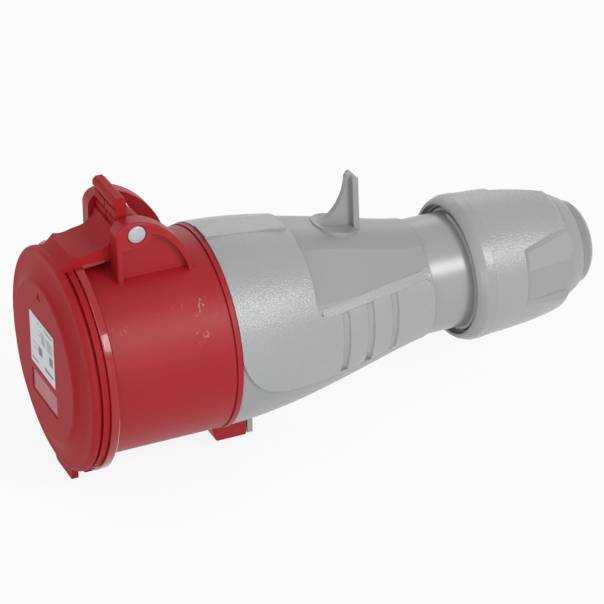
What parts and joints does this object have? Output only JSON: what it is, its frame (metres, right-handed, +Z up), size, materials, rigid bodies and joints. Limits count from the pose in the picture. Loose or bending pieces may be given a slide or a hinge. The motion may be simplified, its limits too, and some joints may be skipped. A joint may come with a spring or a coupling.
{
  "type": "industrial inline socket",
  "caption": "Industrial inline power socket with a sprung hinged lid over a round shrouded contact set, a tapered hand grip and a screwed cable gland.",
  "frame": {"origin": "centre of the sleeve's open mouth, on the connector axis", "axes": "+X from the mouth towards the cable, +Z up through the lid hinge, Y along the hinge pin"},
  "size_m": [0.2041, 0.0788, 0.1027],
  "materials": {
    "red_gloss": "moulded red plastic, satin to gloss",
    "grey_matte": "moulded light grey plastic, fine grain and smooth neck",
    "grey_dark": "moulded mid grey plastic",
    "light_grey": "smooth light grey plastic",
    "natural_moulding": "natural white plastic",
    "dark_moulding": "dark heat-resistant plastic",
    "seal_rubber": "soft black rubber",
    "brass": "machined brass",
    "steel": "zinc-plated or spring steel",
    "label_film": "printed white film"
  },
  "bodies": {
    "body": {"hinge_pin": "light_grey", "lid_spring": "steel", "socket_sleeve": "red_gloss", "contact_carrier": "dark_moulding", "contact_l1": "brass", "contact_l2": "brass", "contact_l3": "brass", "contact_earth": "brass", "phase_clamp_rings": "steel", "earth_clamp_ring": "steel", "terminal_plate": "dark_moulding", "plate_screws": "steel", "terminal_screws": "steel", "body_gasket": "seal_rubber", "rear_housing": "grey_matte", "cable_seal": "seal_rubber", "slip_ring": "natural_moulding", "clamp_basket": "natural_moulding"},
    "lid": {"lid": "red_gloss", "lid_seal": "seal_rubber", "lid_label": "label_film"},
    "bush": {"end_bush": "grey_dark"},
    "nut": {"gland_nut": "grey_matte"}
  },
  "joints": [
    {"name": "lid_hinge", "type": "hinge", "parent": "body", "child": "lid", "pos_m": [0.0205, 0, 0.0488], "axis": [0, 1, 0], "range_deg": [0, 110], "stiffness_Nm_per_rad": 0.06, "springref_deg": -114.59, "deforming": ["lid_spring"]},
    {"name": "gland_travel", "type": "slide", "parent": "body", "child": "bush", "axis": [1, 0, 0], "range_m": [0, 0.00601]},
    {"name": "nut_turn", "type": "hinge", "parent": "bush", "child": "nut", "pos_m": [0.164, 0, 0], "axis": [1, 0, 0], "range_deg": [0, 720]}
  ],
  "couplings": [
    {"joint": "gland_travel", "follows": "nut_turn", "m_per_rad": 0.00047746}
  ]
}
